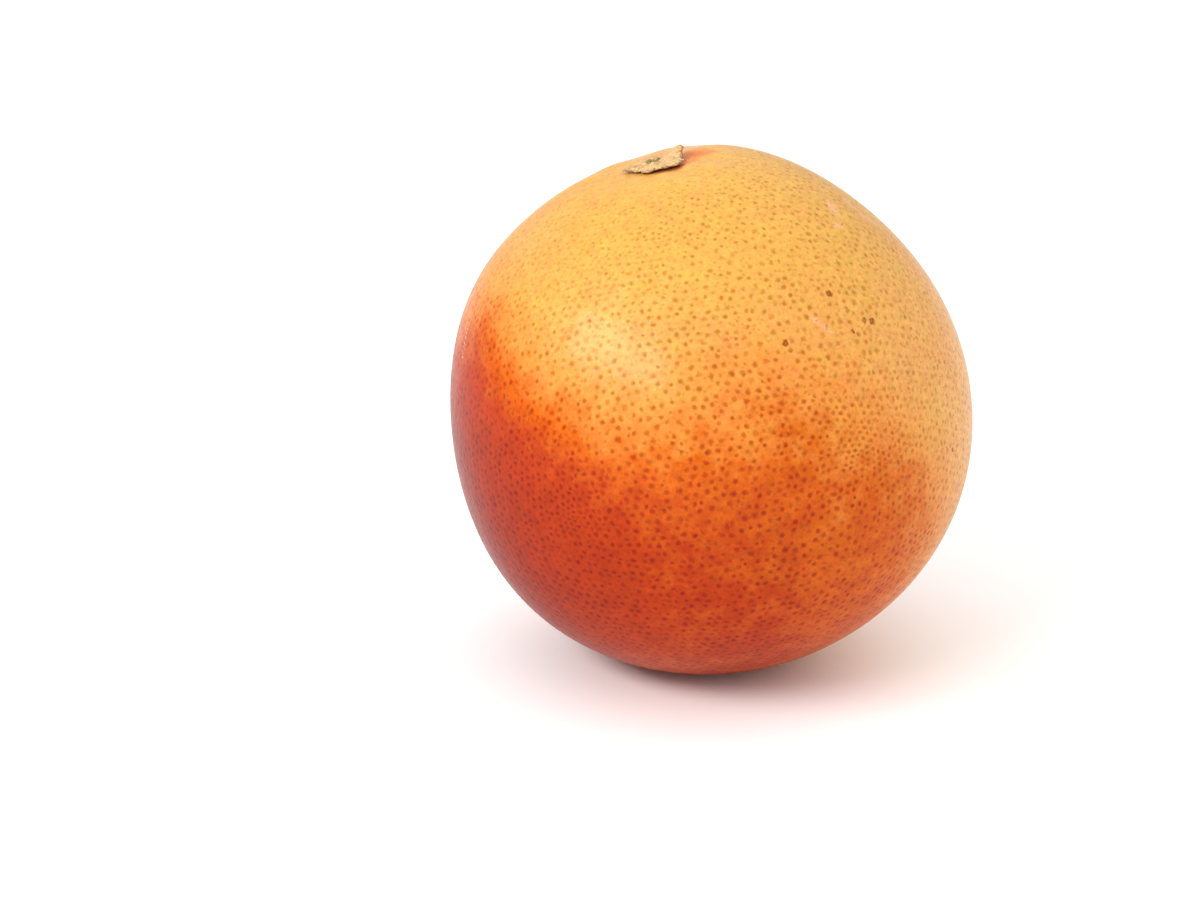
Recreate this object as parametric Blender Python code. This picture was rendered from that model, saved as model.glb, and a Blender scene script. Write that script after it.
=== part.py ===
"""A whole grapefruit at its real size: the fruit in its pitted peel, and the dry calyx at its stem end."""

import math

import bmesh
import bpy
import numpy as np
from mathutils import Matrix, Vector

# Driving dimensions of the fruit, in metres
PEEL_RADIUS = 0.0545  # mean radius, for a fruit about 108 mm across
STEM_WELL = 0.0024  # how deep the calyx sits in the stem end
BLOSSOM_SCAR = 0.0009  # depth of the small scar opposite the stem
FURROW = 0.00022  # depth of the furrows that run out from the stem
PIT = 0.00035  # depth of the oil gland pits, which are larger than life
RESTING_CUT = 0.0011  # how much the fruit's own weight flattens it where it rests

# Driving dimensions of the calyx, in metres
CALYX_DISC = 0.0046  # radius of the calyx between its sepals
CALYX_GAP = 0.0003  # clearance between the calyx and the peel
CALYX_EDGE = 0.0006  # thickness at its edge
CALYX_MIDDLE = 0.0012  # and at its middle
STALK_RING = 0.0023  # radius of the raised ring where the stalk broke off
STALK_RING_HEIGHT = 0.0005
STALK_RING_WIDTH = 0.0006
STALK_PIT = 0.0006  # depth of the pit inside that ring
STALK_PIT_RADIUS = 0.0016
CALYX_CREASE = 0.00012  # depth of the creases that run out over the sepals

# Proportions of the fruit, as shares of its radius
STRETCH = 0.011  # longer along the stem axis than across it
STEM_FULLNESS = 0.022  # fuller towards the stem end than towards the blossom end

# Angles from the stem or from the blossom end over which its marks fade, in degrees
WELL_SPREAD = 12
SCAR_SPREAD = 4
FURROWS_FROM_STEM = 13
FURROWS_SPREAD = 6

# How the fruit lies: its stem axis leans from the vertical, towards a heading counted from +X
LEAN = math.radians(12.4)
LEAN_HEADING = math.radians(182.5)

# Broad swells and flats of the peel: degrees from the stem, degrees around it,
# spread in degrees, height in metres
SWELLS = (
    (51, 169, 22, 0.00135),
    (26, 140, 17, -0.00055),
    (93, 185, 26, -0.0008),
    (80, 8, 24, 0.0003),
    (116, -5, 26, 0.0003),
    (53, 18, 22, -0.00045),
    (26, 46, 18, 0.00035),
    (70, 265, 30, 0.0003),
    (120, 250, 26, -0.0004),
    (62, 95, 26, 0.0004),
    (105, 70, 28, -0.0005),
    (140, 120, 24, 0.0005),
)

# The five worn sepals of the calyx: degrees around the stem, reach in metres,
# half width in degrees, upward curl in metres
SEPALS = (
    (186, 0.0065, 19, 0.0000),
    (262, 0.0059, 27, 0.0001),
    (324, 0.0066, 25, 0.0008),
    (21, 0.0069, 24, 0.0013),
    (106, 0.0050, 30, 0.0001),
)

# Counts
PEEL_FREQUENCY = 24  # divisions along each side of the icosahedron, which gives 20 x 24 x 24 triangles
EVENING_ROUNDS = 60
FURROWS = 9
CREASES = 13
CALYX_SPOKES = 60
CALYX_RINGS = 10

# How irregular the pits are: each one's shift as a share of the spacing, and its depth as a share of PIT
PIT_SHIFT = 0.12
PIT_DEPTHS = (0.3, 1.4)
SEED = 7


def smooth_bump(distance, spread):
    """1 where the distance is nought, falling off smoothly over the spread."""
    return np.exp(-((distance / spread) ** 2))


def direction(from_stem, around):
    """Unit vectors from angles in radians, as rows. The stem is at +Z."""
    flat = np.sin(from_stem)
    upward = np.cos(from_stem) * np.ones_like(around)
    return np.stack([flat * np.cos(around), flat * np.sin(around), upward], axis=-1)


def peel_radius(rays):
    """Distance from the middle of the fruit to its peel along each unit vector, without the gland pits."""
    cosine = np.clip(rays[..., 2], -1, 1)
    from_stem = np.degrees(np.arccos(cosine))
    around = np.arctan2(rays[..., 1], rays[..., 0])
    stretch = STRETCH * (3 * cosine**2 - 1) / 2
    fullness = STEM_FULLNESS * (5 * cosine**3 - 3 * cosine) / 2
    radius = PEEL_RADIUS * (1 + stretch + fullness)
    for swell_from_stem, swell_around, spread, height in SWELLS:
        middle = direction(math.radians(swell_from_stem), np.array(math.radians(swell_around)))
        away = np.degrees(np.arccos(np.clip(rays @ middle, -1, 1)))
        radius = radius + height * smooth_bump(away, spread)
    radius = radius - STEM_WELL * smooth_bump(from_stem, WELL_SPREAD)
    radius = radius - BLOSSOM_SCAR * smooth_bump(180 - from_stem, SCAR_SPREAD)
    furrows = np.cos(FURROWS * around + 0.9 * np.sin(2 * around)) - 0.3
    return radius + FURROW * furrows * smooth_bump(from_stem - FURROWS_FROM_STEM, FURROWS_SPREAD)


def divided_icosahedron(frequency):
    """Unit vectors, triangles, and a mark on every third point, which is where the pits go."""
    solid = bmesh.new()
    bmesh.ops.create_icosphere(solid, subdivisions=1, radius=1)
    corners = np.array([vertex.co for vertex in solid.verts])
    sides = [[vertex.index for vertex in face.verts] for face in solid.faces]
    solid.free()
    steps = [(i, j) for i in range(frequency + 1) for j in range(frequency + 1 - i)]
    place = {step: number for number, step in enumerate(steps)}
    weights = np.array([(frequency - i - j, i, j) for i, j in steps]) / frequency
    marks = np.array([(i - j) % 3 == 0 for i, j in steps])
    upward = [(place[i, j], place[i + 1, j], place[i, j + 1]) for i, j in steps if i + j < frequency]
    downward = [
        (place[i + 1, j], place[i + 1, j + 1], place[i, j + 1]) for i, j in steps if i + j < frequency - 1
    ]
    cells = np.array(upward + downward)
    points = np.concatenate([weights @ corners[side] for side in sides])
    faces = np.concatenate([cells + number * len(steps) for number in range(len(sides))])
    _, first, same = np.unique(np.round(points, 5), axis=0, return_index=True, return_inverse=True)
    rays = points[first] / np.linalg.norm(points[first], axis=1, keepdims=True)
    return rays, same.reshape(-1)[faces], np.tile(marks, len(sides))[first]


def evened_out(rays, faces, rounds):
    """The unit vectors after each has moved to the mean of its neighbours, round by round."""
    ends = np.concatenate([faces[:, [0, 1]], faces[:, [1, 2]], faces[:, [2, 0]]])
    for _ in range(rounds):
        total = np.zeros_like(rays)
        np.add.at(total, ends[:, 0], rays[ends[:, 1]])
        rays = total / np.linalg.norm(total, axis=1, keepdims=True)
    return rays


def mesh_object(name, points, faces, colour, roughness):
    """A new object with its own mesh and its own material."""
    mesh = bpy.data.meshes.new(name)
    mesh.from_pydata([tuple(point) for point in points], [], [tuple(face) for face in faces])
    material = bpy.data.materials.new(name)
    material.use_nodes = True
    finish = material.node_tree.nodes["Principled BSDF"]
    finish.inputs["Base Color"].default_value = (*colour, 1)
    finish.inputs["Roughness"].default_value = roughness
    finish.inputs["Metallic"].default_value = 0
    mesh.materials.append(material)
    solid = bpy.data.objects.new(name, mesh)
    bpy.context.scene.collection.objects.link(solid)
    return solid


def make_fruit():
    """The fruit: one solid, with a small pit at every marked point of its even net of triangles."""
    rays, faces, pits = divided_icosahedron(PEEL_FREQUENCY)
    rays = evened_out(rays, faces, EVENING_ROUNDS)
    draw = np.random.default_rng(SEED)
    spacing = math.sqrt(4 * math.pi / len(rays))
    rays = rays + draw.normal(0, PIT_SHIFT * spacing, rays.shape)
    rays = rays / np.linalg.norm(rays, axis=1, keepdims=True)
    depth = PIT * pits * draw.uniform(*PIT_DEPTHS, len(rays))
    points = rays * (peel_radius(rays) - depth)[:, None]
    return mesh_object("fruit", points, faces, (0.90, 0.46, 0.10), 0.42)


def sepals_at(around):
    """The calyx at each angle around the stem: how far it reaches, and how far its edge curls up."""
    reach = CALYX_DISC + np.zeros_like(around)
    curl = 0.0001 + np.zeros_like(around)
    for middle, tip, width, rise in SEPALS:
        aside = (np.degrees(around) - middle + 180) % 360 - 180
        reach = reach + (tip - CALYX_DISC) * smooth_bump(aside, width)
        curl = curl + rise * smooth_bump(aside, width)
    wear = 0.03 * np.sin(11 * around + 2.1) + 0.02 * np.sin(17 * around)
    return reach * (1 + wear), curl


def calyx_surfaces(around, share):
    """Points of the calyx's upper and lower face, by angle and by share of the way out to its edge."""
    reach, curl = sepals_at(around)
    out = share * reach
    rays = direction(np.arcsin(out / PEEL_RADIUS), around + np.zeros_like(out))
    under = peel_radius(rays) + CALYX_GAP + curl * share**2
    thickness = CALYX_EDGE + (CALYX_MIDDLE - CALYX_EDGE) * (1 - share**2)
    ring = STALK_RING_HEIGHT * smooth_bump(out - STALK_RING, STALK_RING_WIDTH)
    pit = STALK_PIT * smooth_bump(out, STALK_PIT_RADIUS)
    creases = CALYX_CREASE * np.sin(CREASES * around + 1) * share * (1 - smooth_bump(out, STALK_RING))
    over = under + thickness + ring - pit + creases
    return rays * over[..., None], rays * under[..., None]


def make_calyx():
    """The calyx: a thin ragged disc that follows the peel, with a raised ring round the stalk's pit."""
    around = np.linspace(0, 2 * math.pi, CALYX_SPOKES, endpoint=False)[None, :]
    share = np.linspace(0, 1, CALYX_RINGS + 1)[1:, None]
    upper, lower = calyx_surfaces(around, share)
    top, bottom = calyx_surfaces(np.zeros((1, 1)), np.zeros((1, 1)))
    points = np.concatenate([part.reshape(-1, 3) for part in (upper, lower, top, bottom)])

    grid = np.arange(CALYX_RINGS * CALYX_SPOKES).reshape(CALYX_RINGS, CALYX_SPOKES)
    turned = np.roll(grid, -1, axis=1)
    low = grid.size
    faces = []
    for inner, outer, inner_next, outer_next in zip(
        grid[:-1].ravel(), grid[1:].ravel(), turned[:-1].ravel(), turned[1:].ravel()
    ):
        faces += [(inner, outer, outer_next), (inner, outer_next, inner_next)]
        faces.append((low + inner, low + outer_next, low + outer))
        faces.append((low + inner, low + inner_next, low + outer_next))
    for spoke, spoke_next in zip(grid[0], turned[0]):
        faces += [(2 * low, spoke, spoke_next), (2 * low + 1, low + spoke_next, low + spoke)]
    for rim, rim_next in zip(grid[-1], turned[-1]):
        faces += [(rim, low + rim, low + rim_next), (rim, low + rim_next, rim_next)]
    return mesh_object("calyx", points, faces, (0.72, 0.55, 0.30), 0.75)


def flatten_resting_spot(fruit, leaning):
    """Cuts the lowest part of the fruit off level, so that it lies on a small flat spot."""
    down = leaning.to_3x3().inverted() @ Vector((0, 0, -1))
    lowest = max(vertex.co.dot(down) for vertex in fruit.data.vertices)
    solid = bmesh.new()
    solid.from_mesh(fruit.data)
    cut = bmesh.ops.bisect_plane(
        solid,
        geom=solid.verts[:] + solid.edges[:] + solid.faces[:],
        plane_co=down * (lowest - RESTING_CUT),
        plane_no=down,
        clear_outer=True,
    )
    edges = [part for part in cut["geom_cut"] if isinstance(part, bmesh.types.BMEdge)]
    bmesh.ops.contextual_create(solid, geom=edges)
    bmesh.ops.recalc_face_normals(solid, faces=solid.faces[:])
    solid.to_mesh(fruit.data)
    solid.free()


def main():
    for leftover in list(bpy.data.objects):
        bpy.data.objects.remove(leftover)

    fruit = make_fruit()
    calyx = make_calyx()
    lean_axis = Vector((-math.sin(LEAN_HEADING), math.cos(LEAN_HEADING), 0))
    leaning = Matrix.Rotation(LEAN, 4, lean_axis)
    flatten_resting_spot(fruit, leaning)
    for solid in (fruit, calyx):
        solid.data.shade_smooth()
        solid.data.set_sharp_from_angle(angle=math.radians(50))

    # The origin is on the resting spot, midway between the fruit's sides
    corners = np.array([leaning @ vertex.co for solid in (fruit, calyx) for vertex in solid.data.vertices])
    middle = (corners.min(axis=0) + corners.max(axis=0)) / 2
    carrier = bpy.data.objects.new("grapefruit_axis", None)
    bpy.context.scene.collection.objects.link(carrier)
    carrier.matrix_world = Matrix.Translation((-middle[0], -middle[1], -corners[:, 2].min())) @ leaning
    for solid in (fruit, calyx):
        solid.parent = carrier


main()
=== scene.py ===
# %% [markdown]
# # A whole grapefruit
#
# A measured model of a grapefruit comes in as two plain solids: the fruit and the dry calyx at its stem
# end. This lesson dresses them. The solids stay where they are and keep their size, and finer surfaces
# stand for them: a peel with more than ten thousand oil glands, and a torn, wrinkled calyx with the scar of
# its stalk.

# %% Load the measured model
import math

import bpy
import numpy as np
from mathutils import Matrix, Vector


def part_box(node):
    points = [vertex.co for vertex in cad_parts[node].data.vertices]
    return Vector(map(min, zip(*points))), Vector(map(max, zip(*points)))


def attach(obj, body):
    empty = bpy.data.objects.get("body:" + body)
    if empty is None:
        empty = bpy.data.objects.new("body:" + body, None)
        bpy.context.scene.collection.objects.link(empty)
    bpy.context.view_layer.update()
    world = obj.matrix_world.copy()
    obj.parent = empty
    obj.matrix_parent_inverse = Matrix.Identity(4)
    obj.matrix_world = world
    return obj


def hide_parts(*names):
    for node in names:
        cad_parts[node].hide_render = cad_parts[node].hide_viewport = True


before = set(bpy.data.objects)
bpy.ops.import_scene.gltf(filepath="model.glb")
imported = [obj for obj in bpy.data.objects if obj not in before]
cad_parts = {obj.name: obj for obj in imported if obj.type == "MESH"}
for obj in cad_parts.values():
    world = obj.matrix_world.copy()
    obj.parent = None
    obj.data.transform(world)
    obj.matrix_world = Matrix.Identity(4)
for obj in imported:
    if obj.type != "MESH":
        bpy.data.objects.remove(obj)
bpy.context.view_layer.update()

print("solids:", sorted(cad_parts))

# %% [markdown]
# ## The shape of the fruit
#
# A grapefruit is a ball that is a little longer along its stem axis, fuller at the stem end, and uneven: it
# has broad swells and flats where it pressed on leaves and branches. It could be sculpted, but a formula
# for the distance from the middle to the peel, in each direction, is easier to keep true to the measured
# solid. So the same formula is used here as for the solid, and only the glands on top of it are finer.

# %% Values of the shape, in metres and degrees
PEEL_RADIUS = 0.0545
STRETCH = 0.011
STEM_FULLNESS = 0.022
STEM_WELL, WELL_SPREAD = 0.0024, 12
BLOSSOM_SCAR, SCAR_SPREAD = 0.0009, 4
FURROWS, FURROW, FURROWS_FROM_STEM, FURROWS_SPREAD = 9, 0.00022, 13, 6
FURROW_SWAY, FURROW_SINK = 0.9, 0.3
RESTING_CUT = 0.0011
LEAN, LEAN_HEADING = 12.4, 182.5

# degrees from the stem, degrees around it, spread in degrees, height in metres
SWELLS = (
    (51, 169, 22, 0.00135),
    (26, 140, 17, -0.00055),
    (93, 185, 26, -0.0008),
    (80, 8, 24, 0.0003),
    (116, -5, 26, 0.0003),
    (53, 18, 22, -0.00045),
    (26, 46, 18, 0.00035),
    (70, 265, 30, 0.0003),
    (120, 250, 26, -0.0004),
    (62, 95, 26, 0.0004),
    (105, 70, 28, -0.0005),
    (140, 120, 24, 0.0005),
)
print("swells and flats:", len(SWELLS))


# %% The formula of the peel
def unit(vectors):
    """Each vector divided by its length."""
    return vectors / np.linalg.norm(vectors, axis=-1, keepdims=True)


def smooth_bump(distance, spread):
    """1 where the distance is nought, falling off as e to the minus (distance / spread) squared."""
    return np.exp(-((distance / spread) ** 2))


def ray_at(from_stem, around):
    """The unit vector so many degrees from the stem and around it: (sin a cos b, sin a sin b, cos a)."""
    a, b = np.radians(from_stem), np.radians(around)
    return np.stack([np.sin(a) * np.cos(b), np.sin(a) * np.sin(b), np.cos(a) * np.ones_like(b)], axis=-1)


def degrees_between(rays, other):
    """The angle between each ray and one other ray: the arc cosine of their dot product."""
    return np.degrees(np.arccos(np.clip(rays @ other, -1, 1)))


def patch_mask(rays, patches):
    """One less the product of (1 - strength times its bump) over the patches."""
    clear = np.ones(len(rays))
    for from_stem, around, spread, strength in patches:
        clear *= 1 - strength * smooth_bump(degrees_between(rays, ray_at(from_stem, around)), spread)
    return 1 - clear


def peel_radius(rays):
    """Mean radius times (1 + stretch (3 c^2 - 1) / 2 + fullness (5 c^3 - 3 c) / 2), c the cosine of the
    angle from the stem, plus a smooth bump for each swell, less one for the stem well and the blossom scar,
    plus waves around the stem that fade away from it."""
    cosine = np.clip(rays[..., 2], -1, 1)
    from_stem = np.degrees(np.arccos(cosine))
    around = np.arctan2(rays[..., 1], rays[..., 0])
    radius = PEEL_RADIUS * (
        1 + STRETCH * (3 * cosine**2 - 1) / 2 + STEM_FULLNESS * (5 * cosine**3 - 3 * cosine) / 2
    )
    for swell_from_stem, swell_around, spread, height in SWELLS:
        away = degrees_between(rays, ray_at(swell_from_stem, swell_around))
        radius = radius + height * smooth_bump(away, spread)
    radius = radius - STEM_WELL * smooth_bump(from_stem, WELL_SPREAD)
    radius = radius - BLOSSOM_SCAR * smooth_bump(180 - from_stem, SCAR_SPREAD)
    furrows = np.cos(FURROWS * around + FURROW_SWAY * np.sin(2 * around)) - FURROW_SINK
    return radius + FURROW * furrows * smooth_bump(from_stem - FURROWS_FROM_STEM, FURROWS_SPREAD)


both_ends = ray_at(np.array([0, 180]), 0)
print("radius at stem and blossom end, in mm:", np.round(1000 * peel_radius(both_ends), 1))


# %% [markdown]
# ## Leaning it and setting it down
#
# The fruit lies as it was put down, with its stem end leaning to one side. The finished objects could be
# turned, but then their patterns would turn with them. So every surface below is worked out upright, with
# the stem at +Z, and its points are then leaned and moved by one function. The move is found by laying a
# coarse copy of the peel over the measured solid, so the fine surfaces land where the solid is.

# %% The lean and the move
def lean_matrix(angle, heading):
    """Turn by the angle about the level axis at right angles to the heading: I + sin K + (1 - cos) K K,
    where K is the axis written as a cross product."""
    angle, heading = math.radians(angle), math.radians(heading)
    x, y = -math.sin(heading), math.cos(heading)
    cross = np.array([[0, 0, y], [0, 0, -x], [-y, x, 0]])
    return np.eye(3) + math.sin(angle) * cross + (1 - math.cos(angle)) * cross @ cross


LEANING = lean_matrix(LEAN, LEAN_HEADING)
ring_angles, ring_heights = np.meshgrid(np.arange(0, 360, 3.0), np.arange(0, 181, 3.0))
sample_rays = ray_at(ring_heights.ravel(), ring_angles.ravel())
sample_points = (sample_rays * peel_radius(sample_rays)[:, None]) @ LEANING.T
fruit_low, fruit_high = (np.array(corner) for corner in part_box("fruit"))
MIDDLE = (fruit_low + fruit_high) / 2 - (sample_points.min(axis=0) + sample_points.max(axis=0)) / 2
MIDDLE[2] = fruit_low[2] - sample_points[:, 2].min() - RESTING_CUT
print("the fruit's middle, in mm:", np.round(1000 * MIDDLE, 2))


# %% Setting points down
CORNER_ROUNDING = 0.0004


def set_down(points):
    """Leans and moves the points, then presses what is under the floor up to it: z becomes (z + the root of
    (z squared + rounding squared)) / 2, which also rounds the edge of the resting spot."""
    placed = points @ LEANING.T + MIDDLE
    height = placed[..., 2]
    placed[..., 2] = (height + np.sqrt(height**2 + CORNER_ROUNDING**2)) / 2
    return placed


def mesh_object(name, points, faces):
    """A new smooth-shaded object from an array of points and a list of faces."""
    mesh = bpy.data.meshes.new(name)
    mesh.from_pydata(points.tolist(), [], faces)
    mesh.shade_smooth()
    piece = bpy.data.objects.new(name, mesh)
    bpy.context.scene.collection.objects.link(piece)
    print(name, "has", len(points), "points and", len(faces), "faces")
    return piece


def add_attribute(piece, name, kind, domain, values):
    """Stores one value for each point or face corner, for the material to read by its name."""
    field = {"FLOAT": "value", "FLOAT_VECTOR": "vector", "FLOAT_COLOR": "color"}[kind]
    attribute = piece.data.attributes.new(name, kind, domain)
    attribute.data.foreach_set(field, np.ascontiguousarray(values, dtype=np.float32).ravel())


stem_end = ray_at(0, 0)
print("the stem end, in mm:", np.round(1000 * set_down(stem_end * peel_radius(stem_end)), 1))

# %% [markdown]
# ## Where the oil glands are
#
# The peel's dots are oil glands, about 2 mm apart. They are spread evenly, but in no pattern. Random points
# would clump, and the rows of a plain grid would show. So the net starts as an icosahedron, each side of it
# divided by two counters u and v, which is even all over a ball. Then slow waves bend its rows, and each
# point is nudged a little. Where that leaves a triangle too small or folded over, its points are eased back
# between their neighbours.

# %% An even net of points
NET_DIVISIONS = 33
EVENING_ROUNDS = 40


def icosahedron():
    """The corners (0, +-1, +-g) and their turns, g the golden ratio, and the triangles of the nearest."""
    golden = (1 + math.sqrt(5)) / 2
    first = np.array([(0, a, b * golden) for a in (-1, 1) for b in (-1, 1)])
    corners = unit(np.concatenate([np.roll(first, turn, axis=1) for turn in range(3)]))
    gaps = np.linalg.norm(corners[:, None] - corners[None], axis=2)
    near = np.isclose(gaps, gaps[gaps > 0.1].min())
    sides = np.argwhere(near[:, :, None] & near[:, None, :] & near[None, :, :])
    sides = sides[(sides[:, 0] < sides[:, 1]) & (sides[:, 1] < sides[:, 2])]
    a, b, c = corners[sides].transpose(1, 0, 2)
    inside_out = (np.cross(b - a, c - a) * a).sum(axis=1) < 0
    sides[inside_out] = sides[inside_out][:, [0, 2, 1]]
    return corners, sides


def divided_net(divisions):
    """On each side, A (1 - u - v) + B u + C v over a grid of u and v, pushed out to the ball."""
    corners, sides = icosahedron()
    u, v = np.meshgrid(np.arange(divisions + 1), np.arange(divisions + 1), indexing="ij")
    inside = u + v <= divisions
    place = np.cumsum(inside).reshape(inside.shape) - 1
    u, v = u[inside], v[inside]
    weights = np.stack([divisions - u - v, u, v], axis=1) / divisions
    points = (weights[None] @ corners[sides]).reshape(-1, 3)
    pointing_up, pointing_down = u + v < divisions, u + v < divisions - 1
    i, j = u[pointing_up], v[pointing_up]
    upward = np.stack([place[i, j], place[i + 1, j], place[i, j + 1]], axis=1)
    i, j = u[pointing_down], v[pointing_down]
    downward = np.stack([place[i + 1, j], place[i + 1, j + 1], place[i, j + 1]], axis=1)
    cells = np.concatenate([upward, downward])
    faces = (cells + (np.arange(len(sides)) * len(u))[:, None, None]).reshape(-1, 3)
    _, kept, merged = np.unique(np.round(points, 6) + 0.0, axis=0, return_index=True, return_inverse=True)
    return unit(points[kept]), merged.reshape(-1)[faces]


def evened_out(rays, faces, rounds):
    """In each round every point moves to the mean of its neighbours, and back onto the ball."""
    starts, ends = faces.ravel(), np.roll(faces, -1, axis=1).ravel()
    for _ in range(rounds):
        rays = unit(np.stack([np.bincount(starts, rays[ends, axis]) for axis in range(3)], axis=1))
    return rays


net_rays, net_faces = divided_net(NET_DIVISIONS)
net_rays = evened_out(net_rays, net_faces, EVENING_ROUNDS)
net_spacing = math.sqrt(8 * math.pi / math.sqrt(3) / len(net_rays))
print("glands:", len(net_rays), "spacing in mm:", round(1000 * PEEL_RADIUS * net_spacing, 2))

# %% Bending the rows and nudging the points
draw = np.random.default_rng(11)
WAVES = 9
WAVE_RANGE = (7, 17)  # waves to a radian
WAVE_STRAIN = 0.085
NUDGE, NUDGE_LIMIT = 0.165, 1.7
UNCROWDING_ROUNDS = 12
LEAST_TRIANGLE = 0.33  # of the mean area


def stirred(rays):
    """Adds, for each wave, a random sideways vector times sin(w b.r + phase), b a random ray, and a random
    nudge."""
    moved = rays.copy()
    for _ in range(WAVES):
        sideways, along = unit(draw.normal(size=(2, 3)))
        pitch = draw.uniform(*WAVE_RANGE)
        wave = np.sin(pitch * rays @ along + draw.uniform(0, 2 * math.pi))
        moved += WAVE_STRAIN / pitch * wave[:, None] * sideways
    nudges = np.clip(draw.normal(0, 1, rays.shape), -NUDGE_LIMIT, NUDGE_LIMIT)
    return unit(moved + NUDGE * net_spacing * nudges)


def uncrowded(rays, faces, rounds, least):
    """In each round the points of triangles smaller than the least share of the mean area, or folded over,
    move half way to the mean of their neighbours."""
    for _ in range(rounds):
        a, b, c = rays[faces].transpose(1, 0, 2)
        area = (np.cross(b - a, c - a) * a).sum(axis=1)
        crowded = np.unique(faces[area < least * area.mean()])
        halfway = (rays + evened_out(rays, faces, 1)) / 2
        rays = rays.copy()
        rays[crowded] = unit(halfway[crowded])
    print("triangles that were too small in the last round:", int((area < least * area.mean()).sum()))
    return rays


gland_rays = uncrowded(stirred(net_rays), net_faces, UNCROWDING_ROUNDS, LEAST_TRIANGLE)
shifts = np.linalg.norm(gland_rays - net_rays, axis=1) / net_spacing
print("glands moved by", round(float(shifts.mean()), 2), "spacings on average")

# %% [markdown]
# ## Each gland's own look
#
# Some glands are wide and dark, some hardly show. Towards the stem end they grow small and faint, and there
# are parts of the peel where they are fainter or redder than elsewhere. A few have turned brown, as they do
# where a fruit was knocked. A texture could vary them, but it couldn't put a mark where this fruit has it.
# So each gland gets its own radius, depth, darkness and tone from a seeded random draw, small tables of
# patches change them, and the gland nearest to each brown mark moves to it and takes its looks.

# %% Values of the glands, in metres and degrees
GLAND_RADIUS = 0.00084
SIZE_SPREAD, SIZE_RANGE = 0.16, (0.6, 1.4)
DARKNESS, DARKNESS_SPREAD, DARKNESS_RANGE = 0.78, 0.16, (0.25, 1)
FAINT_SHARE, FAINT_SIZE, FAINT_DARKNESS = 0.16, 0.75, 0.45
FADED_SHRINK = 0.25
REDDEST_TONE, BROWN_TONE = 1.1, 2

# degrees from the stem where they begin and where they are full, in darkness and in growth
STEM_FADE, STEM_GROWTH = (10, 22), (10, 55)
STEM_DARKNESS, STEM_SIZE = 0.65, 0.58

# degrees from the stem, degrees around it, spread in degrees, how much fainter or redder the glands are
FADED_PATCHES = (
    (78, -14, 34, 0.5),
    (40, -160, 30, 0.25),
    (36, -120, 24, 0.15),
)
RUSSET_PATCHES = ((78, -14, 34, 1),)

# degrees from the stem, degrees around it, size, darkness
BROWN_GLANDS = (
    (56.2, -49.2, 1.3, 1),
    (61, -46.6, 1.2, 0.6),
    (64.4, -43.8, 1.4, 0.8),
    (65.4, -41.8, 1.45, 1),
    (62.6, -66.1, 1.35, 1),
    (65.5, -48.4, 0.7, 1),
    (100.4, -27.8, 0.9, 1),
    (83, -8.2, 0.7, 1),
    (74, 62, 1.2, 1),
    (77, 64, 0.9, 0.7),
    (58, 128, 1.1, 0.8),
    (108, 148, 1.2, 1),
    (111, 151, 0.8, 0.7),
)

print("patches of fainter or redder glands:", len(FADED_PATCHES) + len(RUSSET_PATCHES))


# %% Radius, darkness and tone of each gland
def rise(values, low, high):
    """In a straight line from 0 at the low value to 1 at the high one, and level outside them."""
    return np.clip((values - low) / (high - low), 0, 1)


gland_count = len(gland_rays)
gland_from_stem = np.degrees(np.arccos(np.clip(gland_rays[:, 2], -1, 1)))
gland_size = np.clip(draw.normal(1, SIZE_SPREAD, gland_count), *SIZE_RANGE)
gland_darkness = np.clip(draw.normal(DARKNESS, DARKNESS_SPREAD, gland_count), *DARKNESS_RANGE)
faint = draw.uniform(0, 1, gland_count) < FAINT_SHARE
gland_size[faint] *= FAINT_SIZE
gland_darkness[faint] *= FAINT_DARKNESS
gland_tone = draw.uniform(0, 1, gland_count)

stem_fade, growth = rise(gland_from_stem, *STEM_FADE), rise(gland_from_stem, *STEM_GROWTH)
faded = patch_mask(gland_rays, FADED_PATCHES)
gland_darkness *= stem_fade * (STEM_DARKNESS + (1 - STEM_DARKNESS) * growth) * (1 - faded)
gland_size *= (STEM_SIZE + (1 - STEM_SIZE) * growth) * (1 - FADED_SHRINK * faded)
gland_tone = np.clip(gland_tone + patch_mask(gland_rays, RUSSET_PATCHES), 0, REDDEST_TONE)

for from_stem, around, size, darkness in BROWN_GLANDS:
    away = degrees_between(gland_rays, ray_at(from_stem, around))
    away[gland_tone == BROWN_TONE] = 180
    nearest = np.argmin(away)
    gland_rays[nearest] = ray_at(from_stem, around)
    gland_size[nearest], gland_darkness[nearest], gland_tone[nearest] = size, darkness, BROWN_TONE
print("mean gland darkness:", round(float(gland_darkness.mean()), 2))
print("brown glands:", int((gland_tone == BROWN_TONE).sum()))


# %% [markdown]
# ## The peel as a mesh
#
# Each triangle of the net has a gland at each of its three corners. It is divided into nine: a small
# triangle at each corner, which is a slice of that gland's pit, and six around the middle, which are the
# skin between the glands. So every pit has a sunk middle and a rim of its own, and no face is wasted
# between them. Displacing a fine even mesh would take ten times as many faces to show pits this small.

# %% Dividing the net's triangles
WIDEST_SHARE = 0.43  # of a side, so that two glands never meet


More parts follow.
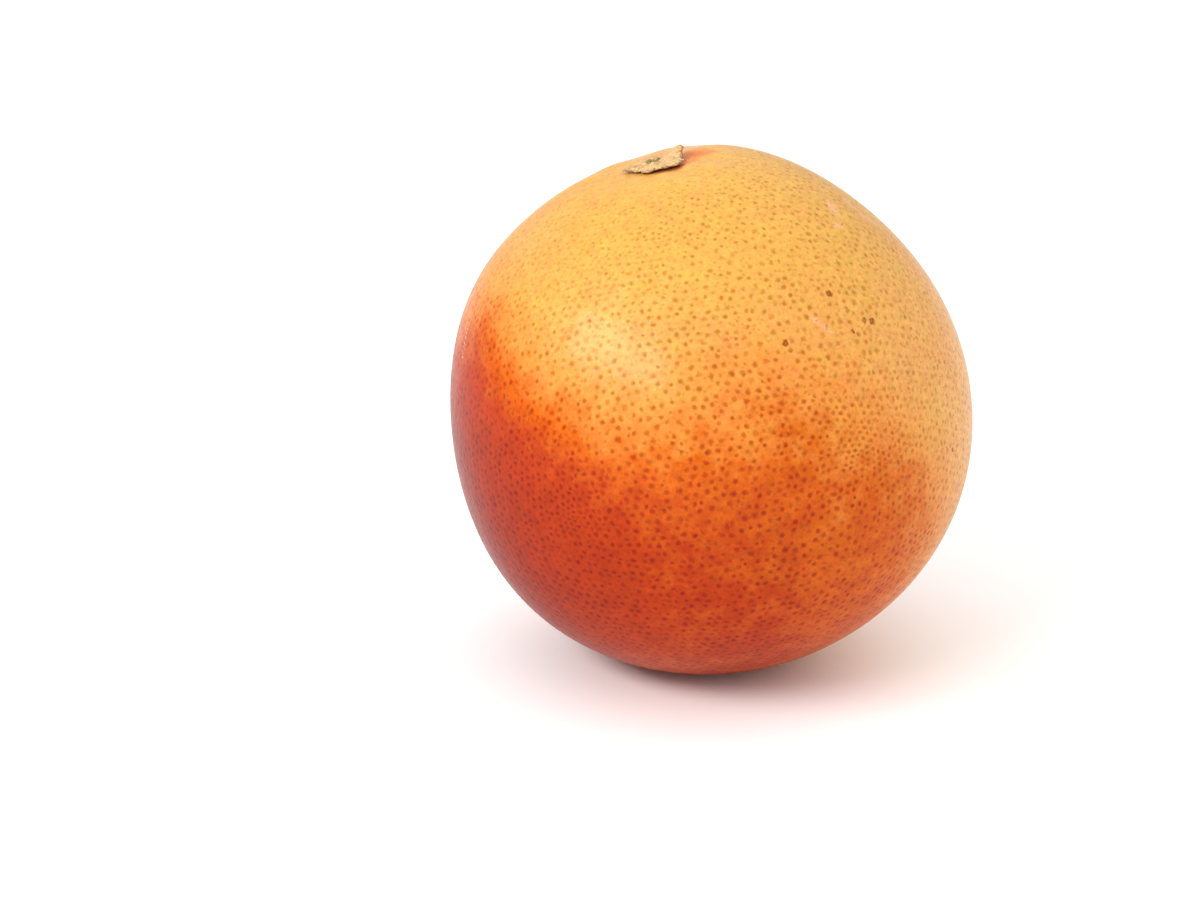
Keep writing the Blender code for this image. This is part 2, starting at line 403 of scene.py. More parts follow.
def divided_triangles(rays, faces, reach):
    """For each corner a, the rim points a + t (b - a) and a + t (c - a), t being a's reach over the side's
    length, and for each triangle its middle. Returns the points, the corner triangles, the six between, and
    the gland that each point but the middles belongs to."""
    count = len(rays)
    starts, ends = faces.ravel(), np.roll(faces, -1, axis=1).ravel()
    keys = starts * count + ends
    order = np.argsort(keys)
    sides = rays[ends] - rays[starts]
    share = np.clip(reach[starts] / np.linalg.norm(sides, axis=1), 0, WIDEST_SHARE)
    rims = (rays[starts] + share[:, None] * sides)[order]
    middles = rays[faces].mean(axis=1)

    def rim(start, end):
        """The number of the rim point near the start of the side from start to end."""
        return count + np.searchsorted(keys[order], start * count + end)

    middle = count + len(rims) + np.arange(len(faces))
    slices, between = [], []
    for turn in range(3):
        a, b, c = np.roll(faces, -turn, axis=1).T
        slices.append(np.stack([a, rim(a, b), rim(a, c)], axis=1))
        between.append(np.stack([middle, rim(a, b), rim(b, a)], axis=1))
        between.append(np.stack([middle, rim(a, c), rim(a, b)], axis=1))
    owners = np.concatenate([np.arange(count), starts[order]])
    points = unit(np.concatenate([rays, rims, middles]))
    return points, np.concatenate(slices), np.concatenate(between), owners


gland_reach = GLAND_RADIUS * gland_size / PEEL_RADIUS
peel_rays, pit_slices, skin_faces, owners = divided_triangles(gland_rays, net_faces, gland_reach)
peel_faces = np.concatenate([pit_slices, skin_faces])
print("peel triangles:", len(peel_faces))

# %% Sinking the pits and making the object
PIT_DEPTH, RIM_SHARE = 0.00007, 0.3
CREST, ROUGHNESS = 0.000015, 0.000006

# dark glands are sunk deeper than pale ones, and all are shallow at the stem
pit_depth = PIT_DEPTH * gland_size * (0.5 + 0.8 * gland_darkness) * (0.3 + 0.7 * stem_fade)
relief = np.full(len(peel_rays), CREST)
relief[: len(owners)] = -RIM_SHARE * pit_depth[owners]
relief[:gland_count] = -pit_depth
relief += draw.normal(0, ROUGHNESS, len(relief))
peel_points = set_down(peel_rays * (peel_radius(peel_rays) + relief)[:, None])
peel = mesh_object("peel", peel_points, peel_faces.tolist())
print("pit depth in mm:", round(1000 * float(pit_depth.mean()), 3))


# %% Telling the material where each dot is
def dot_offsets():
    """In each slice of a pit the gland's middle is (0, 0) and its two rim points are (1, 0) and (cos q, sin
    q), q the angle between them, so the length of the offset between them is the share of the way out to
    the rim."""
    a, b, c = (peel_rays[pit_slices[:, corner]] for corner in range(3))
    cosine = np.clip((unit(b - a) * unit(c - a)).sum(axis=1), -1, 1)
    offsets = np.zeros((len(peel_faces), 3, 3))
    offsets[:, :, 0] = 1
    cut = len(pit_slices)
    offsets[:cut, 0, 0] = 0
    offsets[:cut, 2, 0] = cosine
    offsets[:cut, 2, 1] = np.sqrt(1 - cosine**2)
    offsets[:cut, :, 2] = gland_darkness[pit_slices[:, 0]][:, None]
    return offsets


corner_tones = np.zeros((len(peel_faces), 3))
corner_tones[: len(pit_slices)] = gland_tone[pit_slices[:, 0]][:, None]
add_attribute(peel, "gland", "FLOAT_VECTOR", "CORNER", dot_offsets())
add_attribute(peel, "gland_tone", "FLOAT", "CORNER", corner_tones)
print("stored the offsets of", len(pit_slices), "slices")

# %% [markdown]
# ## Blushes of colour
#
# The peel is golden at the top and deepens through amber and orange to red on one side. That red is
# partly the fruit's own blush and partly painted shade: the deepest red on the left and the darker orange
# low in the middle stand for shade, as if other pieces lay close beside the fruit. It could be painted on
# a picture, but one number at each point can hold it: how far inside a blush or painted shade the point
# is, in degrees. Each is a round patch on the ball, listed as the swells are, and where patches meet they
# join without a seam. Smaller tables hold the peach-coloured skin, partly a painted sheen behind the
# calyx, the red skin round the calyx, partly painted shade in front of it, the painted shade under the
# calyx's front edge, and the scuffs.

# %% Where the blushes are
# degrees from the stem, degrees around it, radius in degrees, how deep its middle is
BLUSH_AND_SHADE_PATCHES = (
    # the deep patches on the left and those low in the middle are partly painted shade
    (102, -176, 53, 26),
    (101, -138, 34, 14),
    (126, -122, 42, 6),
    (124, -92, 41, 1),
    (113, -76, 31, -3),
    (73, -74, 3, -4),
    (132, 70, 24, 1),
    (112, 118, 18, -4),
)
BLUSH_AND_SHADE_JOIN = 5

# degrees from the stem, degrees around it, spread in degrees, strength
PEACH_PATCHES = (
    # behind the calyx: partly peach skin, partly a painted sheen of grazing light
    (7, 60, 15, 0.75),
    (30, 60, 18, 0.5),
    (66, 0, 20, 0.6),
    (50, -178, 16, 0.5),
    (94, -14, 26, 0.75),
    (74, -32, 22, 0.55),
    (50, -111, 18, 0.55),
    (30, -165, 14, 0.35),
    (70, 115, 40, 0.6),
    (55, 60, 30, 0.4),
)
RED_SKIN_AND_SHADE_PATCHES = (
    (10, 14, 5, 0.75),
    (5, 70, 7, 0.5),
    # painted shade, in red, under the calyx's front edge
    (5, -35, 4, 1.0),
)
# painted shade under the calyx's front edge, deeper
CALYX_SHADE_PATCHES = (
    (6.9, -53, 2.2, 1.0),
    (7.0, -39, 1.6, 0.8),
    (6.4, -78, 1.9, 0.9),
)

# from and to, each in degrees from the stem and around it, then half width in metres and strength
SCUFFS = (
    (59.3, -57.3, 63.5, -54.5, 0.0008, 0.9),
    (40.4, -18.4, 42.2, -21.7, 0.0014, 1.2),
    (44.4, -28, 45.4, -26, 0.0009, 1.1),
    (43.2, -6.3, 44.9, -8.1, 0.0014, 1.3),
    (47.9, -9.5, 50.1, -7.1, 0.0014, 1.3),
    (44.5, -106.4, 45.8, -105.6, 0.0003, 0.7),
    (52.4, -97.1, 54.7, -96.6, 0.0004, 0.9),
    (57, -175.8, 49, -178.2, 0.0005, 0.7),
    (61, -166, 54, -168.5, 0.0006, 0.8),
    (53, -172, 49, -172.5, 0.0006, 0.8),
)


def blush_and_shade_depth(rays, patches):
    """In each patch the smooth minimum of radius less distance and the patch's deepest, and over the patches
    their smooth maximum: J ln(sum of e to the (value / J)), for the minimum with both signs turned."""
    total = np.zeros(len(rays))
    for from_stem, around, radius, deepest in patches:
        inside = radius - degrees_between(rays, ray_at(from_stem, around))
        total += 1 / (np.exp(-inside / BLUSH_AND_SHADE_JOIN) + math.exp(-deepest / BLUSH_AND_SHADE_JOIN))
    return BLUSH_AND_SHADE_JOIN * np.log(total)


def scuff_mask(rays):
    """For each scuff its strength times a bump of the distance from the nearest point of its line."""
    mask = np.zeros(len(rays))
    for stem_a, around_a, stem_b, around_b, width, strength in SCUFFS:
        a, b = ray_at(stem_a, around_a), ray_at(stem_b, around_b)
        along = np.clip((rays - a) @ (b - a) / ((b - a) @ (b - a)), 0, 1)[:, None]
        away = PEEL_RADIUS * np.linalg.norm(rays - a - along * (b - a), axis=1)
        mask = np.maximum(mask, strength * smooth_bump(away, width))
    return mask


depth = blush_and_shade_depth(peel_rays, BLUSH_AND_SHADE_PATCHES)
peach, red, calyx_shade = (patch_mask(peel_rays, patches) for patches in (PEACH_PATCHES, RED_SKIN_AND_SHADE_PATCHES, CALYX_SHADE_PATCHES))
# how deep each point lies in a blush or in painted shade
add_attribute(peel, "blush_and_shade_depth", "FLOAT", "POINT", depth)
# the fourth channel is the painted shade under the calyx's front edge
masks = np.stack([peach, red, scuff_mask(peel_rays), calyx_shade], axis=1)
add_attribute(peel, "patches", "FLOAT_COLOR", "POINT", masks)
print("blush depth in degrees, from", round(float(depth.min())), "to", round(float(depth.max())))

# %% [markdown]
# ## The calyx
#
# The calyx is what is left of the flower's green cup: five worn sepals round the scar where the stalk broke
# off. On the tree it is flat on the peel, and as it dries its sepals curl up. It could be cut from a bent
# plane, but a grid of rings and spokes has its edge where the sepals end, so the tears can be in the edge
# itself. Both faces are worked out from the same two parameters: the share of the way out, and the angle
# around.

# %% Values of the calyx, in metres
CALYX_DISC = 0.0046
CALYX_GAP = 0.0003
CALYX_EDGE, CALYX_MIDDLE = 0.00045, 0.0012
EDGE_TEARS = 0.028  # of the reach
CURL_ALL_ROUND = 0.0001
SCAR_ASIDE = (0.0001, -0.0005)
SCAR_EDGE = (0.0013, 0.0019)
STALK_RING, STALK_RING_HEIGHT, STALK_RING_WIDTH = 0.0018, 0.0003, 0.0004
STALK_PIT, STALK_PIT_RADIUS = 0.00025, 0.0012
KNOBS, KNOB_HEIGHT, KNOB_WIDTH = 9, 0.00014, 0.00035
WRINKLE, CRUMPLE = 0.00002, 0.0001
RIPPLE, RIPPLE_LENGTH = 0.00004, 0.00042
CALYX_SPOKES, CALYX_RINGS = 300, 44

# degrees around the stem, reach in metres, half width in degrees, upward curl in metres
SEPALS = (
    (186, 0.0062, 19, 0.0004),
    (264, 0.0059, 25, 0.0001),
    (322, 0.0073, 30, 0.0002),
    (23, 0.0067, 26, 0.0020),
    (106, 0.0050, 30, 0.0001),
)
print("calyx grid:", CALYX_RINGS, "rings of", CALYX_SPOKES)


# %% The edge and the faces of the calyx
def rough_wave(around, first, last, seed):
    """A sum of sines around the stem, from the first to the last whole number of waves, each as high as 1
    over the root of its number, with seeded phases."""
    numbers = np.arange(first, last + 1)
    phases = np.random.default_rng(seed).uniform(0, 2 * math.pi, len(numbers))
    waves = np.sin(around[..., None] * numbers + phases) / np.sqrt(numbers)
    return waves.sum(axis=-1) / math.sqrt((1 / numbers).sum() / 2)


def sepals_at(around):
    """The disc's radius and curl, plus a smooth bump for each sepal, the radius with waves for its tears."""
    reach = CALYX_DISC + np.zeros_like(around)
    curl = CURL_ALL_ROUND + np.zeros_like(around)
    for middle, tip, width, lift in SEPALS:
        aside = (np.degrees(around) - middle + 180) % 360 - 180
        reach = reach + (tip - CALYX_DISC) * smooth_bump(aside, width)
        curl = curl + lift * smooth_bump(aside, width)
    return reach * (1 + EDGE_TEARS * rough_wave(around, 6, 34, 3)), curl


def calyx_faces_at(share, around):
    """The lower face is the peel plus a gap and the curl times the share squared. The upper face is that and
    the thickness, the ring and knobs round the stalk's scar, the wrinkles and ripples, less its pit."""
    reach, curl = sepals_at(around)
    out = share * reach
    rays = ray_at(np.degrees(np.arcsin(out / PEEL_RADIUS)), np.degrees(around) + 0 * out)
    under = peel_radius(rays) + CALYX_GAP * np.clip(share * 2, 0.2, 1) + curl * share**2
    thickness = CALYX_EDGE + (CALYX_MIDDLE - CALYX_EDGE) * (1 - share**2) ** 1.5
    thickness = thickness * np.sqrt(np.clip(1 - share**14, 0.02, 1))
    out = np.hypot(out * np.cos(around) - SCAR_ASIDE[0], out * np.sin(around) - SCAR_ASIDE[1])
    ring_radius = STALK_RING * (1 + 0.07 * rough_wave(around, 2, 7, 5))
    ring = STALK_RING_HEIGHT * smooth_bump(out - ring_radius, STALK_RING_WIDTH)
    knobs = KNOB_HEIGHT * np.cos(KNOBS * around + 0.8 * np.sin(3 * around))
    knobs = knobs * smooth_bump(out - 0.8 * STALK_PIT_RADIUS, KNOB_WIDTH)
    pit = STALK_PIT * smooth_bump(out, STALK_PIT_RADIUS)
    away = 1 - smooth_bump(out, STALK_RING)
    wrinkles = WRINKLE * rough_wave(around, 14, 60, 7) + CRUMPLE * rough_wave(around, 3, 9, 8)
    ripples = RIPPLE * np.sin(out / RIPPLE_LENGTH + 2 * rough_wave(around, 3, 9, 9))
    over = under + thickness + ring + knobs - pit + (wrinkles + ripples) * away * (1 - share**10)
    return rays * over[..., None], rays * under[..., None]


tips = np.radians([row[0] for row in SEPALS])
print("the sepals reach, in mm:", np.round(1000 * sepals_at(tips)[0], 1))


# %% The calyx as a mesh
def closed_disc_faces(rings, spokes):
    """Quads between neighbouring rings on both faces and round the edge, and triangles to each middle."""
    grid = np.arange(rings * spokes).reshape(rings, spokes)
    turned = np.roll(grid, -1, axis=1)
    low, top, bottom = grid.size, 2 * grid.size, 2 * grid.size + 1
    upper = np.stack([grid[:-1], grid[1:], turned[1:], turned[:-1]], axis=-1).reshape(-1, 4)
    edge = np.stack([grid[-1], low + grid[-1], low + turned[-1], turned[-1]], axis=-1)
    top_fan = np.stack([np.full(spokes, top), grid[0], turned[0]], axis=-1)
    bottom_fan = np.stack([np.full(spokes, bottom), low + turned[0], low + grid[0]], axis=-1)
    both_faces = [*upper.tolist(), *(low + upper[:, ::-1]).tolist()]
    return [*both_faces, *edge.tolist(), *top_fan.tolist(), *bottom_fan.tolist()]


around_grid = np.linspace(0, 2 * math.pi, CALYX_SPOKES, endpoint=False)[None, :]
share_grid = np.linspace(0, 1, CALYX_RINGS + 1)[1:, None] ** 0.9
upper_points, lower_points = calyx_faces_at(share_grid, around_grid)
top_point, bottom_point = calyx_faces_at(np.zeros((1, 1)), np.zeros((1, 1)))
calyx_parts = (upper_points, lower_points, top_point, bottom_point)
calyx_points = np.concatenate([part.reshape(-1, 3) for part in calyx_parts])
calyx = mesh_object("dry_calyx", set_down(calyx_points), closed_disc_faces(CALYX_RINGS, CALYX_SPOKES))

# %% Where the calyx's scar and sepals are
grid_out = share_grid * sepals_at(around_grid)[0]
scar_away = np.hypot(
    grid_out * np.cos(around_grid) - SCAR_ASIDE[0], grid_out * np.sin(around_grid) - SCAR_ASIDE[1]
)
calyx_out = np.concatenate([np.tile(scar_away.ravel(), 2), [0, 0]])
calyx_share = np.concatenate([np.tile((share_grid + 0 * around_grid).ravel(), 2), [0, 0]])
calyx_turn = np.concatenate([np.tile((around_grid + 0 * share_grid).ravel(), 2), [0, 0]])
scar = 1 - rise(calyx_out, *SCAR_EDGE)
fibres = 0.5 + 0.2 * rough_wave(calyx_turn, 20, 80, 21)
zones = np.stack([scar, calyx_share, fibres, fibres], axis=1)  # the fourth isn't read
add_attribute(calyx, "calyx_zones", "FLOAT_COLOR", "POINT", zones)
print("points in the stalk's scar:", int((scar > 0.5).sum()))


# %% [markdown]
# ## Helpers for the materials
#
# Every material here is a small net of nodes. A few helpers keep the code short: they add a node and set
# its values, do a sum, mix two colours by a mask, run smoothly from one value to another, and read an
# attribute of the mesh.

# %% Adding nodes
def linear(code):
    """A screen's colour, such as FFB85C, in linear numbers: each share s of full red, green or blue becomes
    s / 12.92 up to 0.04045, and above it ((s + 0.055) / 1.055) to the power 2.4."""
    shares = np.array([int(code[place : place + 2], 16) / 255 for place in (0, 2, 4)])
    return (*np.where(shares <= 0.04045, shares / 12.92, ((shares + 0.055) / 1.055) ** 2.4).tolist(), 1)


def add_node(tree, kind, inputs=None, **settings):
    """Adds a node, sets its own settings, and fills each input with a value or a link from an output."""
    new = tree.nodes.new(kind)
    for name, value in settings.items():
        setattr(new, name, value)
    for name, value in (inputs or {}).items():
        if isinstance(value, bpy.types.NodeSocket):
            tree.links.new(value, new.inputs[name])
        else:
            new.inputs[name].default_value = value
    return new


def add_math(tree, operation, *values):
    """A Math node's output: the operation on the values given."""
    return add_node(tree, "ShaderNodeMath", dict(enumerate(values)), operation=operation).outputs[0]


def add_mix(tree, mask, first, second, blend="MIX"):
    """The first colour, mixed to the second by the mask."""
    inputs = {"Factor": mask, 6: first, 7: second}  # 6 and 7 are the node's two colours
    return add_node(tree, "ShaderNodeMix", inputs, data_type="RGBA", blend_type=blend).outputs[2]


def add_ramp(tree, value, low, high, to_low=0.0, to_high=1.0):
    """From one value to the other by the share t t (3 - 2 t), t the input's share of the way to high."""
    inputs = {"Value": value, "From Min": low, "From Max": high, "To Min": to_low, "To Max": to_high}
    return add_node(tree, "ShaderNodeMapRange", inputs, interpolation_type="SMOOTHSTEP").outputs[0]


def read_attribute(tree, name):
    """The outputs of a node that reads an attribute of the mesh."""
    return add_node(tree, "ShaderNodeAttribute", attribute_name=name).outputs


def add_surface(tree, shader, colour, shine, grain, strength, distance):
    """Gives the shader its colour and roughness, and turns its normal as if the grain, times the distance,
    were the height of the surface, by the share that the strength is."""
    inputs = {"Height": grain, "Strength": strength, "Distance": distance}
    bump = add_node(tree, "ShaderNodeBump", inputs).outputs[0]
    for name, value in (("Base Color", colour), ("Roughness", shine), ("Normal", bump)):
        tree.links.new(value, shader.inputs[name])


def new_material(name):
    """A material with a Principled BSDF, its tree, that shader, and its object coordinates."""
    material = bpy.data.materials.new(name)
    material.use_nodes = True
    tree = material.node_tree
    place = add_node(tree, "ShaderNodeTexCoord").outputs["Object"]
    return material, tree, tree.nodes["Principled BSDF"], place


print("FFB85C in linear numbers:", np.round(linear("FFB85C")[:3], 3))


# %% [markdown]
# ## Mottle, an effect that both finishes use
#
# Neither the peel nor the calyx is one even colour. Both have soft cloudy mottling of two sizes. A node
# group holds it once: a broad noise and a fine noise added by weights, centred on nought, so it can lighten
# and darken.

# %% The mottle group
MOTTLE_NOISE = {"Detail": 3.0, "Roughness": 0.6}


def make_mottle():
    """Broad weight times (broad noise - 1/2) plus fine weight times (fine noise - 1/2)."""
    group = bpy.data.node_groups.new("Mottle", "ShaderNodeTree")
    group.interface.new_socket("Vector", in_out="INPUT", socket_type="NodeSocketVector")
    for name in ("Broad Scale", "Broad Weight", "Fine Scale", "Fine Weight"):
        group.interface.new_socket(name, in_out="INPUT", socket_type="NodeSocketFloat")
    group.interface.new_socket("Value", in_out="OUTPUT", socket_type="NodeSocketFloat")
    given = add_node(group, "NodeGroupInput").outputs
    parts = []
    for size in ("Broad", "Fine"):
        inputs = {"Vector": given["Vector"], "Scale": given[size + " Scale"], **MOTTLE_NOISE}
        noise = add_node(group, "ShaderNodeTexNoise", inputs).outputs["Fac"]
        centred = add_math(group, "SUBTRACT", noise, 0.5)
        parts.append(add_math(group, "MULTIPLY", centred, given[size + " Weight"]))
    add_node(group, "NodeGroupOutput", {"Value": add_math(group, "ADD", *parts)})
    return group


MOTTLE = make_mottle()


def add_mottle(tree, place, broad_scale, broad_weight, fine_scale, fine_weight):
    """The mottle group in a material, with its own scales and weights."""
    new = tree.nodes.new("ShaderNodeGroup")
    new.node_tree = MOTTLE
    tree.links.new(place, new.inputs["Vector"])
    for name, value in (
        ("Broad Scale", broad_scale),
        ("Broad Weight", broad_weight),
        ("Fine Scale", fine_scale),
        ("Fine Weight", fine_weight),
    ):
        new.inputs[name].default_value = value
    return new.outputs["Value"]


print("mottle group sockets:", len(MOTTLE.interface.items_tree))

# %% [markdown]
# ## The finish of the peel
#
# The peel is waxy, with a soft gleam. The blush-and-shade depth, roughened by some mottle, runs through a
# ramp from golden to red, whose deep reds are partly painted shade. The glands then darken it. They could
# all be one colour, but a real gland is a window into the peel: a dot is the local colour times the share
# of each primary that the gland lets through, so it is a deeper shade of whatever it lies in. The brown
# ones have a ragged rim and a paler middle. Faint young glands between the others come from a cell
# texture. The wax gives a sharper second gloss, which is the shader's coat.

# %% Colours of the peel
# blush-and-shade depth in degrees, colour; the deep reds are partly painted shade
BLUSH_AND_SHADE_COLOURS = (
    (-70, "D29F4A"),
    (-30, "D59B48"),
    (-16, "D79648"),
    (-7, "D8873A"),
    (1, "C5590B"),
    (9, "AA3402"),
    (28, "7C1301"),
)
PEACH = linear("DEA261")
# red skin round the calyx, partly painted shade in front of it
RED_SKIN_AND_SHADE = linear("CC6820")
# the colour of the painted shade under the calyx's front edge
CALYX_SHADE_COLOUR = linear("8C2E08")
SCUFF = linear("E0A680")

# how much the peel and its wax mirror
PEEL_IOR, WAX, WAX_ROUGHNESS = 1.12, 0.17, 0.15

# the share of red, green and blue light that a gland lets through
OLIVE_GLAND = (0.55, 0.5, 0.1, 1)
RUSSET_GLAND = (0.64, 0.43, 0.08, 1)
BLUSH_AND_SHADE_GLAND = (0.62, 0.3, 0.02, 1)
BROWN_GLAND = (0.36, 0.19, 0, 1)
BROWN_FROM = (1.4, 1.6)  # the tones between which a gland turns brown
YOUNG_GLANDS = 760.0  # cells to a metre
print("blush colours:", len(BLUSH_AND_SHADE_COLOURS))


# %% The peel's material
def add_blush_and_shade_ramp(tree, depth):
    """A colour ramp whose stops are the blush-and-shade depths, moved and scaled to run from 0 to 1."""
    first, last = BLUSH_AND_SHADE_COLOURS[0][0], BLUSH_AND_SHADE_COLOURS[-1][0]
    share = add_node(tree, "ShaderNodeMapRange", {"Value": depth, "From Min": first, "From Max": last})
    ramp = add_node(tree, "ShaderNodeValToRGB", {"Fac": share.outputs[0]})
    stops = ramp.color_ramp.elements
    for place, (depth_here, code) in enumerate(BLUSH_AND_SHADE_COLOURS):
        position = (depth_here - first) / (last - first)
        stop = stops[place] if place < 2 else stops.new(position)  # a new ramp has two stops
        stop.position, stop.color = position, linear(code)
    return ramp.outputs["Color"]


def add_glands(tree, place, depth, peach, colour):
    """The colour, mixed to itself times the gland's tint. The mask is the gland's darkness times a ramp that
    falls to the dot's rim, which some mottle breaks. Young glands are cells of a texture."""
    offset = add_node(tree, "ShaderNodeSeparateXYZ", {0: read_attribute(tree, "gland")["Vector"]}).outputs
    flat = add_node(tree, "ShaderNodeCombineXYZ", {"X": offset["X"], "Y": offset["Y"]}).outputs[0]
    wide = add_node(tree, "ShaderNodeVectorMath", {0: flat}, operation="LENGTH").outputs["Value"]
    tone = read_attribute(tree, "gland_tone")["Fac"]
    brown = add_ramp(tree, tone, *BROWN_FROM)
    rough = add_mottle(tree, place, 1700.0, 0.35, 3600.0, 0.2)
    rough = add_math(tree, "MULTIPLY", rough, add_math(tree, "MULTIPLY_ADD", brown, 3.0, 1.0))
    ragged = add_math(tree, "ADD", wide, rough)
    dot = add_ramp(tree, ragged, add_math(tree, "MULTIPLY_ADD", brown, 0.25, 0.2), 1.02, 1.0, 0.0)
    middle = add_ramp(tree, ragged, 0.1, 0.5, add_math(tree, "MULTIPLY_ADD", brown, -0.35, 1.0), 1.0)
    dark = add_math(tree, "MULTIPLY", add_math(tree, "MULTIPLY", dot, offset["Z"]), middle)

    tint = add_mix(tree, add_ramp(tree, tone, 0.55, 1.1), OLIVE_GLAND, RUSSET_GLAND)
    # glands are redder where the blush and the painted shade are deep
    tint = add_mix(tree, add_ramp(tree, depth, -14.0, 4.0), tint, BLUSH_AND_SHADE_GLAND)
    tint = add_mix(tree, brown, tint, BROWN_GLAND)
    colour = add_mix(tree, dark, colour, add_mix(tree, 1.0, colour, tint, "MULTIPLY"))

    cells = add_node(tree, "ShaderNodeTexVoronoi", {"Vector": place, "Scale": YOUNG_GLANDS}).outputs
    strongest = add_ramp(tree, peach, 0.0, 1.0, 0.4, 0.7)
    young = add_ramp(tree, cells["Distance"], 0.12, 0.34, strongest, 0.0)
    tint = add_mix(tree, peach, OLIVE_GLAND, RUSSET_GLAND)
    return add_mix(tree, young, colour, add_mix(tree, 1.0, colour, tint, "MULTIPLY"))


def make_peel_material():
    """The blush-and-shade ramp, mixed to peach and red skin and to the painted shade under the calyx by
    their masks, times fine flecks, then under the glands, and mixed last to the pale of the scuffs."""
    material, tree, shader, place = new_material("peel")
    depth = read_attribute(tree, "blush_and_shade_depth")["Fac"]
    patches = read_attribute(tree, "patches")
    parts = add_node(tree, "ShaderNodeSeparateColor", {"Color": patches["Color"]}).outputs

    clouds = add_mottle(tree, place, 60.0, 11.0, 240.0, 11.0)
    colour = add_blush_and_shade_ramp(tree, add_math(tree, "ADD", depth, clouds))
    broad = add_mottle(tree, place, 35.0, 0.5, 160.0, 0.5)
    peach = add_ramp(tree, add_math(tree, "ADD", parts["Red"], broad), 0.15, 1.0)
    colour = add_mix(tree, peach, colour, PEACH)
    # red skin round the calyx, partly painted shade in front of it
    red = add_ramp(tree, add_math(tree, "ADD", parts["Green"], broad), 0.15, 1.0)
    colour = add_mix(tree, red, colour, RED_SKIN_AND_SHADE)
    # painted shade under the calyx's front edge
    colour = add_mix(tree, add_ramp(tree, patches["Alpha"], 0.2, 0.9, 0.0, 0.85), colour, CALYX_SHADE_COLOUR)

    flecks = add_math(tree, "ADD", add_mottle(tree, place, 520.0, 0.4, 1700.0, 0.65), 1.0)
    yellow = add_math(tree, "ADD", add_mottle(tree, place, 90.0, 0.3, 420.0, 0.35), flecks)
    fleck = add_node(tree, "ShaderNodeCombineColor", {"Red": flecks, "Green": yellow, "Blue": flecks})
    colour = add_mix(tree, 1.0, colour, fleck.outputs[0], "MULTIPLY")
    colour = add_glands(tree, place, depth, peach, colour)

    broken = add_math(tree, "ADD", add_mottle(tree, place, 1300.0, 2.0, 2600.0, 5.5), 0.6)
    scratched = add_math(tree, "MULTIPLY", parts["Blue"], broken)
    colour = add_mix(tree, add_ramp(tree, scratched, 0.3, 0.8), colour, SCUFF)

    shine = add_math(tree, "ADD", add_mottle(tree, place, 90.0, 0.14, 900.0, 0.2), 0.35)
    grain = add_mottle(tree, place, 1500.0, 0.6, 4200.0, 0.5)
    add_surface(tree, shader, colour, shine, grain, 0.35, 0.00005)
    shader.inputs["IOR"].default_value = PEEL_IOR
    shader.inputs["Coat Weight"].default_value = WAX
    shader.inputs["Coat Roughness"].default_value = WAX_ROUGHNESS
    return material


peel.data.materials.append(make_peel_material())
print("peel material nodes:", len(peel.data.materials[0].node_tree.nodes))

# %% [markdown]
# ## The finish of the calyx
#
# The calyx is dry and woody: pale tan with fine fibres that run out along the sepals, darker along some of
# the fibres, darker at the edge, which is partly wear and partly painted shade on its thickness, and olive
# brown in the scar where the stalk was. A wood texture would run straight across it, so the fibres and the
# zones are an attribute that follows its rings and spokes, and the mottle breaks their edges.

# %% The calyx's material
TAN = linear("D4B07A")
STRAW = linear("B0824A")
BARK = linear("77481F")
SCAR_OLIVE = linear("84743C")
SCAR_DARK = linear("48350F")


def make_calyx_material():
    """Tan mixed to straw by blotches, to bark along the fibres and at the edge, and to olive in the scar."""
    material, tree, shader, place = new_material("dry_calyx")
    zones = read_attribute(tree, "calyx_zones")["Color"]
    parts = add_node(tree, "ShaderNodeSeparateColor", {"Color": zones}).outputs
    blotches = add_mottle(tree, place, 600.0, 1.2, 2600.0, 1.4)
    colour = add_mix(tree, add_ramp(tree, blotches, -0.15, 0.3), TAN, STRAW)
    colour = add_mix(tree, add_ramp(tree, parts["Blue"], 0.45, 0.1, 0.0, 0.45), colour, BARK)
    # darker towards the edge: partly wear, partly painted shade on the edge's thickness
    worn_and_shaded = add_math(tree, "MULTIPLY_ADD", blotches, 0.3, parts["Green"])
    colour = add_mix(tree, add_ramp(tree, worn_and_shaded, 0.9, 1.02, 0.0, 0.7), colour, BARK)
    scarred = add_math(tree, "MULTIPLY_ADD", blotches, 0.5, parts["Red"])
    scar_colour = add_mix(tree, add_ramp(tree, blotches, 0.0, 0.3), SCAR_OLIVE, SCAR_DARK)
    colour = add_mix(tree, add_ramp(tree, scarred, 0.2, 0.6, 0.0, 0.85), colour, scar_colour)
    shine = add_math(tree, "MULTIPLY_ADD", blotches, 0.2, 0.78)
    grain = add_mottle(tree, place, 1800.0, 0.8, 5200.0, 0.6)
    add_surface(tree, shader, colour, shine, grain, 0.7, 0.00015)
    return material


calyx.data.materials.append(make_calyx_material())
print("calyx material nodes:", len(calyx.data.materials[0].node_tree.nodes))

# %% [markdown]
# ## Tying the pieces to the model
#
# Each fine surface stands for one of the solids, which it hides, and moves with the model's body.

# %% Riding and replacing
for piece, node, slot in ((peel, "fruit", "peel"), (calyx, "calyx", "dry_calyx")):
    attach(piece, "root")
    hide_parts(node)
print("pieces:", [piece.name for piece in (peel, calyx)])

# %% [markdown]
# ## The stage
#
# A white table in a white room, as for a picture in a catalogue. The floor is a wide sheet with a trace of
# texture, so wide that its edge is never seen, and it isn't part of the object.

# %% The floor
FLOOR_HALF = 6.0
FLOOR_WHITE = linear("F6F4F2")
FLOOR_ROUGHNESS = 0.8


